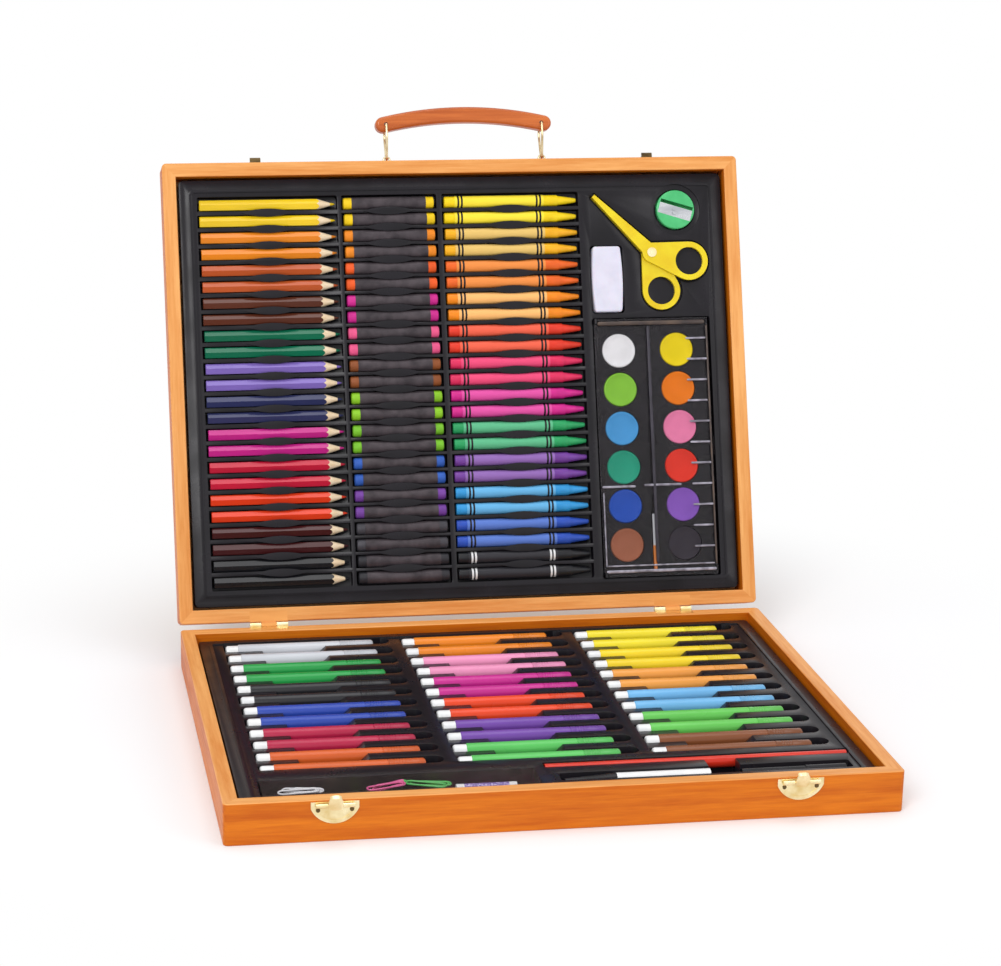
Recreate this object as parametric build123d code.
from build123d import *
import math
import os

# A wooden art set case, open, in millimetres. +X runs to the right along the case, +Y to the
# hinges at the back, +Z up. The origin is the centre of the base's underside.
# The lid and what it holds are drawn lying open and flat, rim up and hinge side at -Y, with
# z = 0 on the rim. place_lid() turns them over onto the base and then opens them.

# Case
case_length = 390.0
case_depth = 304.0
base_height = 25.0
lid_height = 22.0
wall = 9.0
panel_thick = 3.0
panel_rebate = 4.0
corner_round = 3.0
edge_round = 0.8
rim_gap = 0.4
lid_open = 109.5

# Butt hinges with stop tails
hinge_x = 136.5
leaf_width = 25.0
leaf_depth = 7.0
leaf_thick = 1.0
knuckle_radius = 2.0
knuckle_clear = 0.4
knuckle_gap = 0.3
centre_knuckle = 10.0
hinge_pin_radius = 0.9
pin_clear = 0.06
tail_length = 6.0
tail_thick = 1.1
tail_angle = -45.0
hinge_screw_spacing = 15.0
hinge_screw_radius = 0.9
hinge_screw_head = 1.7
hinge_screw_length = 8.0

# Latches
latch_x = 133.0
plate_half_width = 13.5
latch_nail_out = 9.5
latch_nail_down = 6.0
plate_straight = 4.0
plate_height = 13.0
plate_thick = 0.8
plate_below_rim = 1.0
latch_pin_forward = 2.9
latch_pin_below_rim = 2.6
latch_barrel_radius = 1.3
latch_pin_radius = 0.6
tongue_width = 8.0
tongue_thick = 0.8
tongue_tail = 2.4
latch_side_gap = 0.3
tongue_rest = 22.0
lip_thick = 0.8
ear_length = 6.5
nail_radius = 0.7
nail_head_radius = 1.3
nail_head_high = 0.6
nail_length = 6.0
keeper_width = 7.0
keeper_plate_height = 7.0
keeper_nose_out = 3.2
keeper_nose_high = 1.7
keeper_above_rim = 0.6
latch_clear = 0.3

# Handle
handle_x = 9.5
handle_hole_spacing = 106.0
grip_length = 120.0
grip_height = 10.4
grip_thick = 9.0
grip_rise = 6.2
grip_round = 2.4
grip_hole_radius = 1.3
staple_wire = 0.7
staple_half_width = 2.9
staple_reach = 4.2
staple_bend = 2.0
staple_deep = 5.0
link_wire = 0.8
link_bend = 1.8
link_length = 21.5
link_shoulder = 8.5
link_clear = 0.3

# Trays
flange_below_rim = 5.0
tray_sheet = 1.0
tray_edge_gap = 2.0
bead_inset = 6.0
bead_width = 2.2
bead_high = 0.8
seat_gap = 0.1

# Markers: twelve to a column, in three columns in the base
marker_rows = 12
marker_pitch = 19.5
marker_first = 66.0
marker_left_column = -167.6
marker_middle_column = -51.9
marker_right_column = 63.2
marker_columns = (marker_left_column, marker_middle_column, marker_right_column)
marker_length = 96.5
marker_radius = 4.75
marker_plug_length = 8.0
marker_plug_radius = 4.2
marker_cap_length = 22.0
marker_centre_below_flange = 3.8
marker_pocket_end = 10.5
marker_pocket_start = 1.5
marker_pocket_width = 11.0
marker_low_ridge = 25.0
marker_high_ridge = 49.5
marker_slope = 7.0
low_ridge_drop = 1.8

# Sticks in the lid: twenty-four to a column
stick_rows = 24
stick_pitch = 10.87
stick_first = 27.4
pencil_left = -171.0
pencil_length = 90.6
pencil_flat = 3.4
pencil_cone = 9.2
pencil_lead_length = 3.2
pencil_lead_radius = 1.1
pastel_left = -74.8
pastel_length = 61.4
pastel_radius = 4.1
pastel_wrap_thick = 0.2
pastel_bare = 5.6
crayon_left = -7.0
crayon_length = 90.5
crayon_radius = 3.9
crayon_wrap_thick = 0.2
crayon_bare_back = 7.0
crayon_wrap_length = 61.0
crayon_tip_length = 13.0
crayon_tip_radius = 1.5
stick_centre_below_flange = 3.3
bump_length = 35.0
bump_width = 5.3
bump_high = 0.9
bump_clear = 0.15

# Tools beside the crayons, from the lid's front edge and its middle
scissors_pivot = (134.0, 64.4)
scissors_blade_angle = 225.0
scissors_blade_length = 55.0
scissors_blade_width = 10.0
scissors_tip_width = 2.4
scissors_hub = 6.5
scissors_loop_reach = 26.4
scissors_loop_angle = 31.4
scissors_loop_outer = 13.0
scissors_loop_inner = 9.4
scissors_half_thick = 2.4
scissors_gap = 0.3
scissors_recess = 2.8
rivet_radius = 1.5
rivet_head_radius = 3.2
rivet_head_high = 0.5
sharpener_spot = (152.1, 35.3)
sharpener_radius = 13.2
sharpener_height = 11.0
sharpener_bore_radius = 4.0
sharpener_tilt = -17.0
sharpener_blade = (23.0, 7.2, 0.6)
sharpener_screw_radius = 1.2
eraser_spot = (102.8, 81.9)
eraser_size = (21.0, 44.5, 10.5)
eraser_bulge = 1.2
tool_room = 0.8
scissors_room = 1.6
sharpener_step = (17.3, 1.2)

# Paint box
paint_box_left = 92.0
paint_box_near = 109.0
paint_box_size = (78.5, 174.4, 9.0)
paint_rows = 6
paint_pitch = 26.3
paint_first = 21.4
paint_left_column = -22.6
paint_right_column = 17.4
paint_columns = (paint_left_column, paint_right_column)
paint_radius = 11.4
paint_thick = 4.0
paint_brush_length = 38.0
paint_brush_x = -3.6
paint_brush_radius = 1.2

# Small hinged boxes
box_wall = 1.2
box_cover_thick = 1.1
box_barrel_radius = 1.2
box_ear = 3.2
box_pin_radius = 0.6
box_gap = 0.3
cover_seat = 0.05

# Front row of the base
clip_box_left = -171.0
clip_box_near = 14.0
clip_box_size = (158.5, 30.0, 9.4)
clip_wire = 0.45
clip_long = 28.0
clip_wide = 7.0
clip_pairs = 3
tube_margin = 12.5
tube_length = 35.0
tube_radius = 3.0
tube_end_length = 4.5
long_pencil_left = -4.8
long_pencil_length = 180.0
long_pencil_y = 48.6
long_pencil_radius = 3.5
front_slot_y = 29.0
glue_pen_left = 3.0
glue_pen_length = 85.0
glue_pen_cap = 30.0
glue_pen_radius = 4.4
fine_pen_left = 107.0
fine_pen_length = 62.0
fine_pen_cap = 24.0
fine_pen_radius = 4.0
slot_room = 1.2
finger_notch = (88.7, 107.5)

# Worked out from the sizes above
front = -case_depth / 2
back = case_depth / 2
hinge_y = back + knuckle_radius + knuckle_clear
hinge_z = base_height + rim_gap / 2
lid_rim_z = base_height + rim_gap
flange = -flange_below_rim
latch_pin_y = front - latch_pin_forward
latch_pin_z = base_height - latch_pin_below_rim
nodes = {}


def block(x0, x1, y0, y1, z0, z1):
    return Pos((x0 + x1) / 2, (y0 + y1) / 2, (z0 + z1) / 2) * Box(x1 - x0, y1 - y0, z1 - z0)


def rod_x(radius, x0, x1, y, z):
    return Pos((x0 + x1) / 2, y, z) * Rot(0, 90, 0) * Cylinder(radius, x1 - x0)


def rod_y(radius, y0, y1, x, z):
    return Pos(x, (y0 + y1) / 2, z) * Rot(90, 0, 0) * Cylinder(radius, y1 - y0)


def cone_x(radius0, radius1, x0, x1, y, z):
    return Pos((x0 + x1) / 2, y, z) * Rot(0, 90, 0) * Cone(radius0, radius1, x1 - x0)


def rounded_block(x0, x1, y0, y1, z0, z1, radius):
    shape = block(x0, x1, y0, y1, z0, z1)
    return fillet(shape.edges().filter_by(Axis.Z), radius)


def turned(shape, angle, y, z):
    """Turn a shape about a line along X through y, z."""
    return Pos(0, y, z) * Rot(angle, 0, 0) * Pos(0, -y, -z) * shape


def place_lid(shape):
    """Turn a flat lid shape over onto the base and open it about the hinges."""
    closed = Pos(0, 0, lid_rim_z) * Rot(180, 0, 0) * shape
    return turned(closed, -lid_open, hinge_y, hinge_z)


def keep(name, shapes):
    nodes[name] = shapes if isinstance(shapes, list) else [shapes]


# The wooden frames


def frame_walls(height):
    """Four mitred walls standing on z = 0, with the panel's rebate at the bottom."""
    ring = Pos(0, 0, height / 2) * Box(case_length, case_depth, height)
    ring = fillet(ring.edges().filter_by(Axis.Z), corner_round)
    ring -= Pos(0, 0, height / 2) * Box(case_length - 2 * wall, case_depth - 2 * wall, height)
    ring = fillet(ring.faces().sort_by(Axis.Z)[-1].edges(), edge_round)
    rim_under = ring.faces().sort_by(Axis.Z)[0]
    ring = fillet(rim_under.outer_wire().edges(), edge_round)
    ring -= panel(0)
    half_x, half_y, reach = case_length / 2, case_depth / 2, wall + 1
    corners = {
        "front": [(-half_x, -half_y), (half_x, -half_y)],
        "right": [(half_x, -half_y), (half_x, half_y)],
        "back": [(half_x, half_y), (-half_x, half_y)],
        "left": [(-half_x, half_y), (-half_x, -half_y)],
    }
    walls = {}
    for side, (start, end) in corners.items():
        inner = [(x - math.copysign(reach, x), y - math.copysign(reach, y)) for x, y in (end, start)]
        wedge = extrude(make_face(Polyline(start, end, *inner, close=True)), height)
        walls[side] = ring & wedge
    return walls


def panel(z):
    size_x = case_length - 2 * wall + 2 * panel_rebate
    size_y = case_depth - 2 * wall + 2 * panel_rebate
    return Pos(0, 0, z + panel_thick / 2) * Box(size_x, size_y, panel_thick)


# Hinges, drawn closed in place


def hinge_spans(x_mid):
    outer = leaf_width / 2
    inner = centre_knuckle / 2 + knuckle_gap
    return [(x_mid - outer, x_mid - inner), (x_mid + inner, x_mid + outer)]


def leaf(x_mid, side, spans):
    """One leaf, let into the rim below (side -1) or above (side 1) the hinge line."""
    face = hinge_z + side * rim_gap / 2
    low, high = sorted((face, face + side * leaf_thick))
    shape = block(x_mid - leaf_width / 2, x_mid + leaf_width / 2, back - leaf_depth, back, low, high)
    for x0, x1 in spans:
        shape += block(x0, x1, back - leaf_thick, hinge_y, low, high)
        shape += rod_x(knuckle_radius, x0, x1, hinge_y, hinge_z)
    return shape


def tail(x0, x1, inner, angle, side):
    """A stop tail: a plate out from the pin line, on one side of the plane where the tails meet."""
    low, high = sorted((0, side * tail_thick))
    plate = block(x0, x1, inner, tail_length, low, high)
    return Pos(0, hinge_y, hinge_z) * Rot(angle, 0, 0) * plate


def screw_at(x, side):
    """A countersunk hinge screw, its head flush with the leaf's face."""
    face = hinge_z + side * rim_gap / 2
    turn = Rot(0, 0, 0) if side < 0 else Rot(180, 0, 0)
    shank = Pos(0, 0, -hinge_screw_length / 2) * Cylinder(hinge_screw_radius, hinge_screw_length)
    head_deep = hinge_screw_head - hinge_screw_radius
    head = Pos(0, 0, -head_deep / 2) * Cone(hinge_screw_radius, hinge_screw_head, head_deep)
    return Pos(x, back - leaf_depth / 2, face) * turn * (shank + head)


def hinge_parts():
    base_leaves, lid_leaves, pins, base_screws, lid_screws = [], [], [], [], []
    for x_mid in (-hinge_x, hinge_x):
        outer = hinge_spans(x_mid)
        middle = [(x_mid - centre_knuckle / 2, x_mid + centre_knuckle / 2)]
        pin = rod_x(hinge_pin_radius, x_mid - leaf_width / 2, x_mid + leaf_width / 2, hinge_y, hinge_z)
        bore = rod_x(hinge_pin_radius + pin_clear, x_mid - leaf_width, x_mid + leaf_width, hinge_y, hinge_z)
        low = leaf(x_mid, -1, outer)
        for x0, x1 in outer:
            low += tail(x0, x1, knuckle_radius - 0.6, tail_angle, -1)
        low += tail(outer[0][0], outer[1][1], knuckle_radius + knuckle_clear, tail_angle, -1)
        high = leaf(x_mid, 1, middle)
        tail_half = centre_knuckle / 2 - knuckle_gap
        high += tail(x_mid - tail_half, x_mid + tail_half, knuckle_radius - 0.6, tail_angle + lid_open, 1)
        low_screws = [screw_at(x_mid + s * hinge_screw_spacing / 2, -1) for s in (-1, 1)]
        high_screws = [screw_at(x_mid + s * hinge_screw_spacing / 2, 1) for s in (-1, 1)]
        base_leaves.append(low - bore - low_screws)
        lid_leaves.append(high - bore - high_screws)
        pins.append(pin)
        base_screws += low_screws
        lid_screws += high_screws
    return base_leaves, lid_leaves, pins, base_screws, lid_screws


# Latches, drawn in place on the base's front


def nail(x, y, z):
    """A round-headed nail driven into the wood from the front."""
    shank = rod_y(nail_radius, y - nail_head_high / 2, y + nail_length, x, z)
    head = rod_y(nail_head_radius, y - nail_head_high, y, x, z)
    rim = head.edges().filter_by(GeomType.CIRCLE).sort_by(Axis.Y)[0]
    return fillet(rim, nail_head_high * 0.7) + shank


def latch_plate(x_mid):
    top = base_height - plate_below_rim
    side_z = top - plate_straight
    outline = [
        Line((-plate_half_width, side_z), (-plate_half_width, top)),
        Line((-plate_half_width, top), (plate_half_width, top)),
        Line((plate_half_width, top), (plate_half_width, side_z)),
        ThreePointArc((plate_half_width, side_z), (0, top - plate_height), (-plate_half_width, side_z)),
    ]
    plate = extrude(Plane.XZ * make_face(outline), plate_thick)
    inset = offset(Plane.XZ * make_face(outline), amount=-2.2)
    dish = Pos(0, -plate_thick * 0.6, 0) * extrude(inset, plate_thick)
    shape = Pos(x_mid, front, 0) * (plate - dish)
    for side in (-1, 1):
        start = tongue_width / 2 + latch_side_gap
        x0, x1 = sorted((x_mid + side * start, x_mid + side * (start + ear_length)))
        low = latch_pin_z - latch_barrel_radius
        shape += rod_x(latch_barrel_radius, x0, x1, latch_pin_y, latch_pin_z)
        shape += block(x0, x1, latch_pin_y, front - plate_thick / 4, low, low + plate_thick)
    reach = 1.5 * plate_half_width
    return shape - rod_x(latch_pin_radius, x_mid - reach, x_mid + reach, latch_pin_y, latch_pin_z)


def tongue(x_mid):
    """The swinging tongue, latched, then leant out to where it rests."""
    half = tongue_width / 2
    outer = latch_pin_y - latch_barrel_radius - 0.1
    keeper_top = lid_rim_z + keeper_above_rim + keeper_nose_high
    lip_low = keeper_top + latch_clear
    bottom = latch_pin_z - tongue_tail
    shape = rod_x(latch_barrel_radius, x_mid - half, x_mid + half, latch_pin_y, latch_pin_z)
    shape += block(x_mid - half, x_mid + half, outer, outer + tongue_thick, bottom, lip_low + lip_thick)
    shape += block(x_mid - half, x_mid + half, outer, front - 2 * plate_thick, lip_low, lip_low + lip_thick)
    corners = shape.edges().filter_by(Axis.Y).group_by(Axis.Z)
    shape = fillet(corners[0] + corners[-1], 0.35 * tongue_width)
    bore = latch_pin_radius + pin_clear
    shape -= rod_x(bore, x_mid - tongue_width, x_mid + tongue_width, latch_pin_y, latch_pin_z)
    return turned(shape, tongue_rest, latch_pin_y, latch_pin_z)


def latch_pin(x_mid):
    reach = tongue_width / 2 + latch_side_gap + ear_length
    return rod_x(latch_pin_radius, x_mid - reach, x_mid + reach, latch_pin_y, latch_pin_z)


def keeper(x_mid):
    """The lid's keeper, drawn closed: a small plate with a nose that the tongue's lip holds down."""
    low = lid_rim_z + keeper_above_rim
    half = keeper_width / 2
    plate = block(x_mid - half, x_mid + half, front - plate_thick, front, low, low + keeper_plate_height)
    nose = block(x_mid - half, x_mid + half, front - keeper_nose_out, front, low, low + keeper_nose_high)
    under = nose.edges().filter_by(Axis.X).group_by(Axis.Z)[0].sort_by(Axis.Y)[0]
    return plate + chamfer(under, keeper_nose_high * 0.6)


# Handle, drawn closed on the lid's front


def wire_round(points, radii, wire, close=False):
    path = FilletPolyline(*points, radius=radii, close=close)
    section = Plane(origin=path @ 0, z_dir=path % 0) * Circle(wire)
    return sweep(section, path=path, transition=Transition.ROUND)


def sharp_corner(wide, far, bend):
    """How far behind a bend's centre its two tangent legs would meet, given a point that one runs to."""
    lean = math.atan2(wide, far) - math.asin(bend / math.hypot(wide, far))
    return bend / math.sin(lean)


handle_z = lid_rim_z + lid_height / 2
handle_y = front - staple_reach


def staple(x_mid):
    left, right = x_mid - staple_half_width, x_mid + staple_half_width
    bend_out = staple_reach - staple_bend
    tip = front - bend_out - sharp_corner(staple_half_width, bend_out, staple_bend)
    points = [
        (left, front + staple_deep, handle_z),
        (left, front, handle_z),
        (x_mid, tip, handle_z),
        (right, front, handle_z),
        (right, front + staple_deep, handle_z),
    ]
    return wire_round(points, [1.0, staple_bend, 1.0], staple_wire)


def link(x_mid):
    """A wire loop from the staple's bend up both faces of the grip and through its hole."""
    wide = grip_thick / 2 + link_clear + link_wire
    waist = link_length - link_shoulder
    foot = sharp_corner(wide, waist, link_bend)
    route = [(link_length, wide), (waist, wide), (-foot, 0), (waist, -wide), (link_length, -wide)]
    points = [(x_mid, handle_y - out, handle_z + across) for out, across in route]
    return wire_round(points, [1.4, 4.0, link_bend, 4.0, 1.4], link_wire, close=True)


def grip():
    end = grip_length / 2 - grip_height / 2
    reach = -(handle_y - link_length)
    arc = ThreePointArc((-end, -reach), (0, -reach - grip_rise), (end, -reach))
    shape = extrude(SlotArc(arc=arc, height=grip_height), grip_thick / 2, both=True)
    shape = fillet(shape.faces().filter_by(Axis.Z).edges(), grip_round)
    shape = Pos(handle_x, 0, handle_z) * shape
    for side in (-1, 1):
        hole_x = handle_x + side * handle_hole_spacing / 2
        shape -= Pos(hole_x, handle_y - link_length, handle_z) * Cylinder(grip_hole_radius, 2 * grip_thick)
    return shape


# Trays, with z = 0 on the rim


def tray(depth, pockets, ridges, wells):
    """A thin moulded tray: a flange and skirt with hollow underside, its pockets let down into it.

    A pocket is a rectangle with its floor and corner radius, and a well is a sketch with its floor.
    """
    half_x = case_length / 2 - wall - tray_edge_gap
    half_y = case_depth / 2 - wall - tray_edge_gap
    shape = rounded_block(-half_x, half_x, -half_y, half_y, -depth, flange, corner_round)
    under = block(-half_x + tray_sheet, half_x - tray_sheet, -half_y + tray_sheet, half_y - tray_sheet,
                  -depth - 1, flange - tray_sheet)
    outers, inners = [], []
    for x0, x1, y0, y1, floor, radius in pockets:
        outers.append(rounded_block(x0 - tray_sheet, x1 + tray_sheet, y0 - tray_sheet, y1 + tray_sheet,
                                    floor - tray_sheet, flange, radius + tray_sheet))
        inners.append(rounded_block(x0, x1, y0, y1, floor, 1, radius))
    for outline, floor in wells:
        grown = Pos(0, 0, floor - tray_sheet) * offset(outline, amount=tray_sheet)
        outers.append(extrude(grown, flange - floor + tray_sheet))
        inners.append(extrude(Pos(0, 0, floor) * outline, 1 - floor))
    shape = shape - (under - outers) - inners
    bead_x, bead_y = half_x - bead_inset, half_y - bead_inset
    bead = rounded_block(-bead_x, bead_x, -bead_y, bead_y, flange - tray_sheet / 2, flange + bead_high, 4)
    bead -= rounded_block(-bead_x + bead_width, bead_x - bead_width, -bead_y + bead_width,
                          bead_y - bead_width, flange - 1, 1, 2)
    return shape + (bead - inners) + ridges


def column_y(first, pitch, index):
    return first + pitch * index


def stick_pocket(left, length):
    far = stick_first + stick_pitch * (stick_rows - 1)
    floor = flange - stick_centre_below_flange - pastel_radius - pastel_wrap_thick - seat_gap
    side = stick_pitch / 2
    return (left - 1.5, left + length + 1.5, back - far - side, back - stick_first + side, floor, 1.5)


def lens(length, width):
    arcs = [ThreePointArc((-length / 2, 0), (0, width / 2), (length / 2, 0)),
            ThreePointArc((length / 2, 0), (0, -width / 2), (-length / 2, 0))]
    return make_face(arcs)


def stick_ridges(left, length, radius):
    """The ridges between the sticks, each with a long bump over its middle that holds them in."""
    x0, x1, _, _, floor, _ = stick_pocket(left, length)
    half = (stick_pitch - 2 * radius - 0.4) / 2
    beside = (stick_pitch - bump_width) / 2 - bump_clear
    bump_low = stick_z + math.sqrt(radius**2 - beside**2)
    shapes = []
    for index in range(stick_rows - 1):
        y = back - column_y(stick_first, stick_pitch, index + 0.5)
        shapes.append(block(x0, x1, y - half, y + half, floor - tray_sheet / 2, bump_low))
        bump = extrude(lens(bump_length, bump_width), bump_high)
        shapes.append(Pos((x0 + x1) / 2, y, bump_low) * bump)
    return shapes


def marker_pocket(left):
    near = front + marker_first - marker_pocket_width / 2
    far = near + marker_pitch * (marker_rows - 1) + marker_pocket_width
    floor = flange - marker_centre_below_flange - marker_radius - seat_gap
    return (left - marker_pocket_start, left + marker_length + marker_pocket_end, near, far, floor, 2.0)


def marker_ridges(left):
    """Low ridges at the plug end and full ones with a sloping start, a finger trough between."""
    x0, x1, y0, y1, floor, _ = marker_pocket(left)
    bury = tray_sheet / 2
    low = block(x0 - bury, x0 + marker_low_ridge, y0 - bury, y1 + bury, floor - bury, flange - low_ridge_drop)
    high = block(x1 - marker_high_ridge, x1 + bury, y0 - bury, y1 + bury, floor - bury, flange)
    start = high.edges().filter_by(Axis.Y).sort_by(Axis.Z)[-2:].sort_by(Axis.X)[0]
    high = chamfer(start, marker_slope)
    slots = []
    for index in range(marker_rows):
        y = front + column_y(marker_first, marker_pitch, index)
        slot = extrude(SlotOverall(x1 - x0 + marker_pocket_width, marker_pocket_width), flange + 1 - floor)
        slots.append(Pos((x0 + x1 - marker_pocket_width) / 2, y, floor) * slot)
    return [low - slots, high - slots]


# Sticks


def marker(left, y, z):
    plug_end = left + marker_plug_length
    cap_start = left + marker_length - marker_cap_length
    plug = rod_x(marker_plug_radius, left, plug_end, y, z)
    barrel = rod_x(marker_radius, plug_end, cap_start, y, z)
    cap = rod_x(marker_radius, cap_start, left + marker_length, y, z)
    end = cap.edges().filter_by(GeomType.CIRCLE).sort_by(Axis.X)[-1]
    return plug, barrel, fillet(end, marker_radius * 0.45)


def pencil(left, y, z):
    """A short six-sided pencil, split into its painted body, bare wood and lead."""
    corner = pencil_flat / math.cos(math.pi / 6)
    hexagon = Rot(0, 90, 0) * extrude(RegularPolygon(corner, 6), pencil_length)
    tip = pencil_length
    shoulder = tip - pencil_cone - pencil_lead_length
    lead_start = tip - pencil_lead_length
    profile = make_face(Polyline((0, 0), (0, corner), (shoulder, corner), (lead_start, pencil_lead_radius),
                                 (tip, 0.25), (tip, 0), close=True))
    whole = hexagon & revolve(profile, Axis.X)
    body = whole & block(-1, shoulder, -9, 9, -9, 9)
    wood = whole & block(shoulder, lead_start, -9, 9, -9, 9)
    lead = whole & block(lead_start, tip + 1, -9, 9, -9, 9)
    return [Pos(left, y, z) * piece for piece in (body, wood, lead)]


def pastel(left, y, z):
    stick = rod_x(pastel_radius, left, left + pastel_length, y, z)
    outer = rod_x(pastel_radius + pastel_wrap_thick, left + pastel_bare,
                  left + pastel_length - pastel_bare, y, z)
    return stick, outer - stick


def crayon(left, y, z):
    tip_start = left + crayon_length - crayon_tip_length
    stick = rod_x(crayon_radius, left, tip_start, y, z)
    stick += cone_x(crayon_radius - 0.5, crayon_tip_radius, tip_start, left + crayon_length, y, z)
    wrap_start = left + crayon_bare_back
    outer = rod_x(crayon_radius + crayon_wrap_thick, wrap_start, wrap_start + crayon_wrap_length, y, z)
    return stick, outer - rod_x(crayon_radius, left, tip_start, y, z)


# Tools in the lid


def scissors_outline(side):
    """One half seen from above: a blade from the pivot, and its loop on the other side of it."""
    along = 360 - scissors_blade_angle
    loop_angle = math.radians(along + 180 + side * scissors_loop_angle)
    loop = (scissors_loop_reach * math.cos(loop_angle), scissors_loop_reach * math.sin(loop_angle))
    wide, tip = scissors_blade_width / 2, scissors_tip_width / 2
    blade = make_face(Polyline((-wide, -wide), (scissors_blade_length, -tip), (scissors_blade_length, tip),
                               (-wide, wide), close=True))
    bow = Pos(*loop) * Circle(scissors_loop_outer)
    arm = make_hull(Circle(scissors_hub).edges() + bow.edges())
    place = Pos(scissors_pivot[0], back - scissors_pivot[1])
    hole = Pos(*loop) * Circle(scissors_loop_inner)
    return place * (arm + Rot(0, 0, along) * blade), place * hole


def scissors_half(side, z):
    flat, hole = scissors_outline(side)
    bore = Pos(scissors_pivot[0], back - scissors_pivot[1]) * Circle(rivet_radius + pin_clear)
    return Pos(0, 0, z) * extrude(flat - hole - bore, scissors_half_thick)


def sharpener():
    x, y = sharpener_spot[0], back - sharpener_spot[1]
    top = flange + 1.2
    body = Pos(x, y, top - sharpener_height / 2) * Cylinder(sharpener_radius, sharpener_height)
    body = fillet(body.faces().filter_by(Axis.Z).edges(), 1.0)
    length, width, thick = sharpener_blade
    turn = Pos(x, y, top) * Rot(0, 0, sharpener_tilt)
    seat = turn * Pos(0, -1.5, -thick / 2) * Box(length, width, thick)
    bore = turn * Pos(0, 2.0, -sharpener_bore_radius - 0.4) * Rot(0, 90, 0)
    bore *= Cone(sharpener_bore_radius, 1.0, 2.2 * sharpener_radius)
    chip_slot = turn * Pos(0, 3.4, -2.5) * Box(length, 2.4, 5.2)
    screw_spot = turn * Pos(0, -1.5, 0)
    shank = screw_spot * Pos(0, 0, -2.2) * Cylinder(sharpener_screw_radius, 4.4)
    head = screw_spot * Pos(0, 0, 0.35) * Cylinder(2.2, 0.7)
    slot = screw_spot * Pos(0, 0, 0.6) * Box(5, 0.5, 0.4)
    blade = turn * Pos(0, -1.5, -thick / 2) * Box(length, width, thick)
    screw = shank + (head - slot)
    return body - seat - bore - chip_slot - shank, blade - shank, screw


def eraser():
    x, y = eraser_spot[0], back - eraser_spot[1]
    wide, long, high = eraser_size
    half_x, half_y = wide / 2 - eraser_bulge, long / 2
    outline = [Line((-half_x, -half_y), (half_x, -half_y)),
               ThreePointArc((half_x, -half_y), (wide / 2, 0), (half_x, half_y)),
               Line((half_x, half_y), (-half_x, half_y)),
               ThreePointArc((-half_x, half_y), (-wide / 2, 0), (-half_x, -half_y))]
    shape = extrude(make_face(outline), high)
    shape = fillet(shape.edges().filter_by(Axis.Z), 2.0)
    shape = fillet(shape.faces().filter_by(Axis.Z).edges(), 1.2)
    return Pos(x, y, flange + 2.0 - high) * shape


# Hinged boxes, hinge along X at +Y, standing on z = 0


def hinged_box(size):
    long, wide, high = size
    box = block(-long / 2, long / 2, -wide / 2, wide / 2, 0, high)
    box -= block(-long / 2 + box_wall, long / 2 - box_wall, -wide / 2 + box_wall, wide / 2 - box_wall,
                 box_wall, high + 1)
    pin_y = wide / 2 - box_barrel_radius
    pin_z = high + cover_seat + box_cover_thick / 2
    half = long / 2 - box_ear
    under = box_barrel_radius + box_gap
    box -= block(-half, half, pin_y - under, wide, pin_z - under, high + 1)
    cover = block(-long / 2, long / 2, -wide / 2, pin_y, high + cover_seat,
                  high + cover_seat + box_cover_thick)
    barrel = rod_x(box_barrel_radius, -half + box_gap, half - box_gap, pin_y, pin_z)
    pins = rod_x(box_pin_radius, -half - box_ear * 0.7, half + box_ear * 0.7, pin_y, pin_z)
    for side in (-1, 1):
        x0, x1 = sorted((side * half, side * long / 2))
        ear = block(x0, x1, pin_y - box_barrel_radius, wide / 2, high - 1, pin_z)
        ear += rod_x(box_barrel_radius, x0, x1, pin_y, pin_z)
        clear0, clear1 = sorted((side * (half - box_gap), side * (long / 2 + 1)))
        cover -= block(clear0, clear1, pin_y - under, wide, 0, high + 9)
        box += ear
    box -= rod_x(box_pin_radius + pin_clear, -half - box_ear * 0.8, half + box_ear * 0.8, pin_y, pin_z)
    tab = block(-6, 6, -wide / 2 - 1.2, -wide / 2 + 1, high + cover_seat, high + cover_seat + box_cover_thick)
    return box, cover + barrel + pins + tab, (pin_y, pin_z)


def paint_box():
    """The paint box in the flat lid frame, its hinge along the crayon side."""
    wide, long, high = paint_box_size
    box, cover, _ = hinged_box((long, wide, high))
    x = paint_box_left + wide / 2
    y = back - paint_box_near - long / 2
    place = Pos(x, y, flange + 1.0 - high) * Rot(0, 0, 90)
    box, cover = place * box, place * cover
    centre = Pos(x, y, flange + 1.0 - high)
    well_floor = high - 1.0 - paint_thick
    deck = block(-wide / 2 + box_wall, wide / 2 - box_wall, -long / 2 + box_wall, long / 2 - box_wall,
                 box_wall / 2, high - 1.0)
    pans, wells = [], []
    for column in paint_columns:
        for row in range(paint_rows):
            spot = (column, long / 2 - paint_first - row * paint_pitch)
            wells.append(Pos(*spot, well_floor + high / 2) * Cylinder(paint_radius + 0.3, high))
            pans.append(centre * Pos(*spot, well_floor + paint_thick / 2)
                        * Cylinder(paint_radius, paint_thick))
    brush_y = -long / 2 + 4 + paint_brush_length / 2
    groove = Pos(paint_brush_x, brush_y, high - 1.0) * Rot(90, 0, 0)
    groove *= Cylinder(paint_brush_radius + 0.5, paint_brush_length + 2)
    under = box_barrel_radius + box_gap
    hinge_room = block(-wide / 2 - 1, -wide / 2 + 2 * under, -long, long, high - under, high + 5)
    box += centre * (deck - wells - groove - hinge_room)
    brush_z = high - 1.0 - 0.3
    handle_long = paint_brush_length * 0.45
    start = brush_y - paint_brush_length / 2
    handle = rod_y(paint_brush_radius, start, start + handle_long, paint_brush_x, brush_z)
    head = rod_y(paint_brush_radius * 0.8, start + handle_long, start + paint_brush_length,
                 paint_brush_x, brush_z)
    return box, cover, pans, centre * handle, centre * head


# Front row of the base


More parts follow.
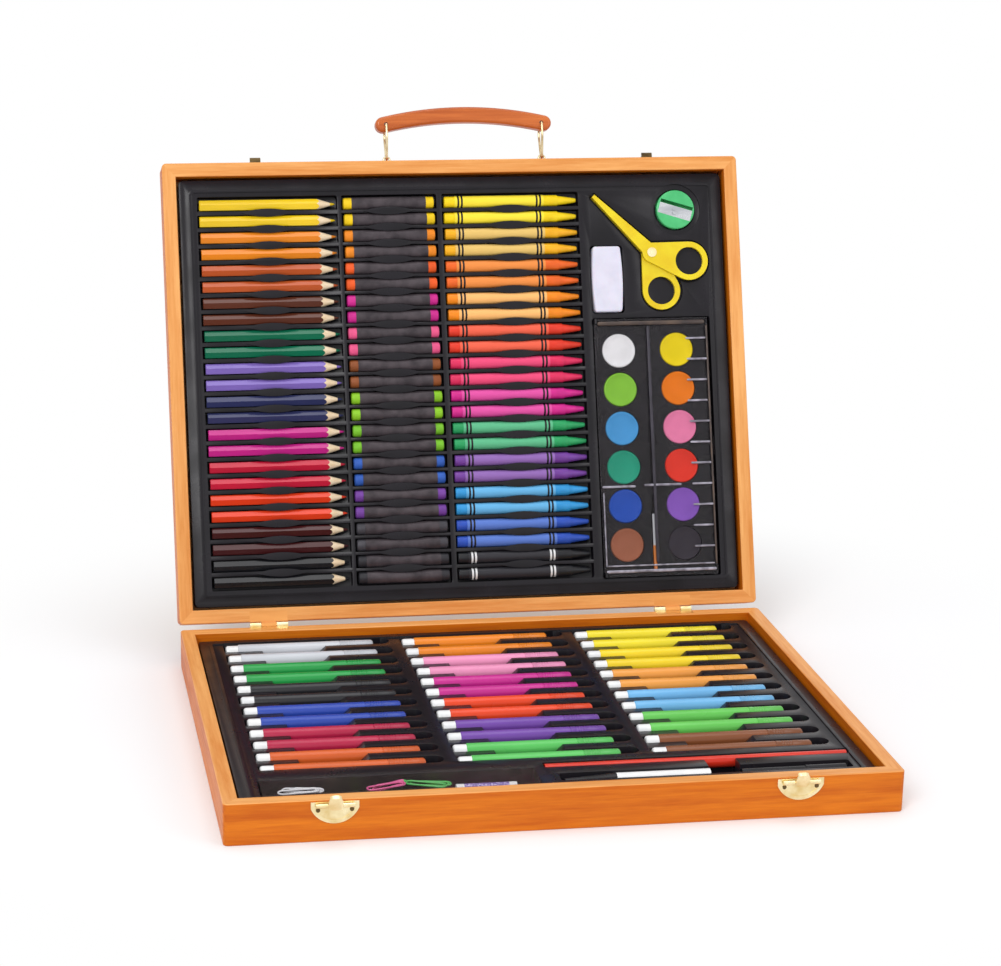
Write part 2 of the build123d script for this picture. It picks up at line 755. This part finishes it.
def clip_box():
    long, wide, high = clip_box_size
    box, cover, _ = hinged_box(clip_box_size)
    place = Pos(clip_box_left + long / 2, front + clip_box_near + wide / 2, clip_box_floor)
    return place * box, place * cover


def paper_clip(x, y, z, angle):
    """A paper clip of round wire, its three bends in one flat path."""
    half = clip_long / 2
    a, b, c = clip_wide / 2, clip_wide / 2 - 1.3, clip_wide / 2 - 2.4
    points = [(-half + 7, a), (half, a), (half, -a), (-half, -a), (-half, b), (half - 4, b),
              (half - 4, -c - 0.4), (-half + 8, -c - 0.4)]
    radii = [a * 0.9, a * 0.9, (a + b) / 2 * 0.85, (a + b) / 2 * 0.85, 1.5, 1.5]
    path = FilletPolyline(*points, radius=radii)
    wire = sweep(Plane(origin=path @ 0, z_dir=path % 0) * Circle(clip_wire), path=path)
    return Pos(x, y, z) * Rot(0, 0, angle) * wire


clip_box_floor = flange + 0.6 - clip_box_size[2]
tube_left = clip_box_left + clip_box_size[0] - tube_margin - tube_length
stick_z = flange - stick_centre_below_flange
marker_z = flange - marker_centre_below_flange
long_pencil_z = flange - long_pencil_radius + 0.4
slot_z = flange - glue_pen_radius + 0.6


def base_case():
    walls = frame_walls(base_height)
    base_leaves, _, pins, screws, _ = hinge_parts()
    nails = [nail(side * latch_x + s * latch_nail_out, front - plate_thick * 0.4,
                  base_height - latch_nail_down)
             for side in (-1, 1) for s in (-1, 1)]
    plates = [latch_plate(side * latch_x) - nails for side in (-1, 1)]
    keep("base_front_wall", walls["front"] - nails)
    keep("base_back_wall", walls["back"] - base_leaves - screws)
    keep("base_left_wall", walls["left"])
    keep("base_right_wall", walls["right"])
    keep("base_panel", panel(0))
    keep("hinge_base_leaves", base_leaves)
    keep("hinge_pins", pins)
    keep("hinge_base_screws", screws)
    keep("latch_plates", plates)
    keep("latch_nails", nails)
    keep("latch_pins", [latch_pin(-latch_x), latch_pin(latch_x)])
    keep("latch_tongue_left", tongue(-latch_x))
    keep("latch_tongue_right", tongue(latch_x))


def lid_case():
    flat = Pos(0, 0, -lid_height)
    walls = {side: place_lid(flat * shape) for side, shape in frame_walls(lid_height).items()}
    _, leaves, _, _, screws = hinge_parts()
    opened = [turned(shape, -lid_open, hinge_y, hinge_z) for shape in leaves]
    opened_screws = [turned(shape, -lid_open, hinge_y, hinge_z) for shape in screws]
    closed_staples = [staple(handle_x + s * handle_hole_spacing / 2) for s in (-1, 1)]
    staples = [turned(shape, -lid_open, hinge_y, hinge_z) for shape in closed_staples]
    nail_z = lid_rim_z + keeper_above_rim + keeper_nose_high + 2.6
    nails = [turned(nail(s * latch_x, front - plate_thick, nail_z), -lid_open, hinge_y, hinge_z)
             for s in (-1, 1)]
    keepers = [turned(keeper(s * latch_x), -lid_open, hinge_y, hinge_z) - nails for s in (-1, 1)]
    # The lid lies over the base when shut, so the flat frame's +Y wall is its front one.
    keep("lid_front_wall", walls["back"] - staples - nails)
    keep("lid_back_wall", walls["front"] - opened - opened_screws)
    keep("lid_left_wall", walls["left"])
    keep("lid_right_wall", walls["right"])
    keep("lid_panel", place_lid(panel(-lid_height)))
    keep("hinge_lid_leaves", opened)
    keep("hinge_lid_screws", opened_screws)
    keep("latch_keepers", keepers)
    keep("keeper_nails", nails)
    keep("handle_staples", staples)
    links = [link(handle_x + s * handle_hole_spacing / 2) for s in (-1, 1)]
    keep("handle_links", [turned(shape, -lid_open, hinge_y, hinge_z) for shape in links])
    keep("handle_grip", turned(grip(), -lid_open, hinge_y, hinge_z))


def base_contents():
    lift = Pos(0, 0, base_height)
    pockets = [marker_pocket(left) for left in marker_columns]
    ridges = [ridge for left in marker_columns for ridge in marker_ridges(left)]
    long, wide, _ = clip_box_size
    near = front + clip_box_near
    pockets.append((clip_box_left - tool_room, clip_box_left + long + tool_room, near - 2.2,
                    near + wide + tool_room, clip_box_floor - seat_gap, 1.5))
    pencil_y = front + long_pencil_y
    pencil_half = long_pencil_radius + 0.3
    pockets.append((long_pencil_left - 1, long_pencil_left + long_pencil_length + 1, pencil_y - pencil_half,
                    pencil_y + pencil_half, long_pencil_z - long_pencil_radius - seat_gap, 1.0))
    slot_y = front + front_slot_y
    slot_half = glue_pen_radius + slot_room
    slot_floor = slot_z - glue_pen_radius - seat_gap
    pockets.append((glue_pen_left - 3, fine_pen_left + fine_pen_length + 3, slot_y - slot_half,
                    slot_y + slot_half, slot_floor, 1.5))
    pockets.append((finger_notch[0], finger_notch[1], slot_y, pencil_y, slot_floor, 1.0))
    base_tray = tray(base_height - panel_thick, pockets, ridges, [])
    keep("base_tray", lift * base_tray)
    plugs, caps = [], []
    for name, left in zip(("left", "middle", "right"), marker_columns):
        barrels = []
        for index in range(marker_rows):
            y = front + column_y(marker_first, marker_pitch, index)
            plug, barrel, cap = marker(left, y, base_height + marker_z)
            plugs.append(plug)
            barrels.append(barrel)
            caps.append(cap)
        keep("marker_barrels_" + name, barrels)
    keep("marker_plugs", plugs)
    keep("marker_caps", caps)
    box, cover = clip_box()
    keep("clip_box", lift * box)
    keep("clip_box_cover", lift * cover)
    clips = []
    clip_floor = base_height + clip_box_floor + box_wall + clip_wire + seat_gap
    clip_y = near + wide / 2
    room_start = clip_box_left + box_wall
    spare = (tube_left - room_start - clip_pairs * clip_long) / (clip_pairs + 1)
    for index in range(clip_pairs):
        x = room_start + spare * (index + 1) + clip_long * (index + 0.5)
        clips.append(paper_clip(x, clip_y - 2, clip_floor, 4))
        clips.append(paper_clip(x + 1.5, clip_y + 1, clip_floor + 2.1 * clip_wire, -7))
    keep("paper_clips", clips)
    tube_z = clip_floor - clip_wire + tube_radius
    tube_end = tube_left + tube_length
    keep("glitter_tube", rod_x(tube_radius, tube_left + tube_end_length, tube_end - tube_end_length,
                               clip_y, tube_z))
    keep("glitter_tube_ends", [rod_x(tube_radius, tube_left, tube_left + tube_end_length, clip_y, tube_z),
                               rod_x(tube_radius, tube_end - tube_end_length, tube_end, clip_y, tube_z)])
    red = rod_x(long_pencil_radius, long_pencil_left, long_pencil_left + long_pencil_length, pencil_y,
                base_height + long_pencil_z)
    lead = rod_x(pencil_lead_radius, long_pencil_left - 0.2, long_pencil_left + long_pencil_length + 0.2,
                 pencil_y, base_height + long_pencil_z)
    keep("long_pencil", red - lead)
    keep("long_pencil_lead", lead)
    pens(slot_y, base_height + slot_z)


def pens(y, z):
    """The white-barrelled glue pen and the fine pen, end to end in the front slot."""
    cap_end = glue_pen_left + glue_pen_cap
    taper = glue_pen_radius * 0.6
    glue_cap = cone_x(taper, glue_pen_radius, glue_pen_left, cap_end, y, z)
    keep("glue_pen_barrel", rod_x(glue_pen_radius, cap_end, glue_pen_left + glue_pen_length, y, z))
    low = z - glue_pen_radius + fine_pen_radius
    cap_start = fine_pen_left + fine_pen_length - fine_pen_cap
    keep("fine_pen_barrel", rod_x(fine_pen_radius * 0.9, fine_pen_left, cap_start, y, low))
    fine_cap = rod_x(fine_pen_radius, cap_start, fine_pen_left + fine_pen_length, y, low)
    keep("pen_caps", [glue_cap, fine_cap])


def stick_group(make, left):
    rows = [make(left, back - column_y(stick_first, stick_pitch, index), stick_z)
            for index in range(stick_rows)]
    return [[place_lid(row[kind]) for row in rows] for kind in range(len(rows[0]))]


def lid_contents():
    pockets = [stick_pocket(pencil_left, pencil_length), stick_pocket(pastel_left, pastel_length),
               stick_pocket(crayon_left, crayon_length)]
    ridges = stick_ridges(pencil_left, pencil_length, pencil_flat / math.cos(math.pi / 6))
    ridges += stick_ridges(pastel_left, pastel_length, pastel_radius + pastel_wrap_thick)
    ridges += stick_ridges(crayon_left, crayon_length, crayon_radius + crayon_wrap_thick)
    wide, long, high = paint_box_size
    near = back - paint_box_near
    pockets.append((paint_box_left - tool_room, paint_box_left + wide + 2.2, near - long - tool_room,
                    near + tool_room, flange + 1.0 - high - seat_gap, 1.5))
    eraser_x, eraser_y = eraser_spot[0], back - eraser_spot[1]
    half_x, half_y = eraser_size[0] / 2 + tool_room, eraser_size[1] / 2 + tool_room
    eraser_floor = flange + 2.0 - eraser_size[2] - seat_gap
    pockets.append((eraser_x - half_x, eraser_x + half_x, eraser_y - half_y, eraser_y + half_y,
                    eraser_floor, 2.5))
    sharpener_floor = flange + 1.2 - sharpener_height - seat_gap
    spot = Pos(sharpener_spot[0], back - sharpener_spot[1])
    step_radius, step_deep = sharpener_step
    scissors_shadow = scissors_outline(-1)[0] + scissors_outline(1)[0]
    wells = [
        (spot * Circle(sharpener_radius + tool_room), sharpener_floor),
        (spot * Circle(step_radius), flange - step_deep),
        (offset(scissors_shadow, amount=scissors_room), flange - scissors_recess),
    ]
    low_z = flange - scissors_recess + seat_gap
    high_z = low_z + scissors_half_thick + scissors_gap
    px, py = scissors_pivot[0], back - scissors_pivot[1]
    keep("lid_tray", place_lid(tray(lid_height - panel_thick, pockets, ridges, wells)))
    keep("scissors_lower_half", place_lid(scissors_half(-1, low_z)))
    keep("scissors_upper_half", place_lid(scissors_half(1, high_z)))
    rivet_low = low_z
    rivet_top = high_z + scissors_half_thick
    rivet = Pos(px, py, (rivet_low + rivet_top) / 2) * Cylinder(rivet_radius, rivet_top - rivet_low)
    head = Pos(px, py, rivet_top + 0.1 + rivet_head_high / 2) * Cylinder(rivet_head_radius, rivet_head_high)
    neck = Pos(px, py, rivet_top + 0.1) * Cylinder(rivet_radius, 0.3)
    keep("scissors_rivet", place_lid(rivet + neck + head))
    body, blade, screw = sharpener()
    keep("sharpener_body", place_lid(body))
    keep("sharpener_blade", place_lid(blade))
    keep("sharpener_screw", place_lid(screw))
    keep("eraser", place_lid(eraser()))
    box, cover, pans, brush_handle, brush_head = paint_box()
    keep("paint_box", place_lid(box))
    keep("paint_box_cover", place_lid(cover))
    keep("paint_pans", [place_lid(pan) for pan in pans])
    keep("paint_brush", [place_lid(brush_handle), place_lid(brush_head)])
    for names, make, left in (
        (("pencil_bodies", "pencil_wood", "pencil_leads"), pencil, pencil_left),
        (("pastel_sticks", "pastel_wrappers"), pastel, pastel_left),
        (("crayon_sticks", "crayon_wrappers"), crayon, crayon_left),
    ):
        for name, shapes in zip(names, stick_group(make, left)):
            keep(name, shapes)


base_case()
lid_case()
base_contents()
lid_contents()
os.makedirs("parts", exist_ok=True)
for name, shapes in nodes.items():
    solids = [solid for shape in shapes for solid in shape.solids()]
    export_step(Compound(children=solids), f"parts/{name}.step")
    print(name, len(solids))
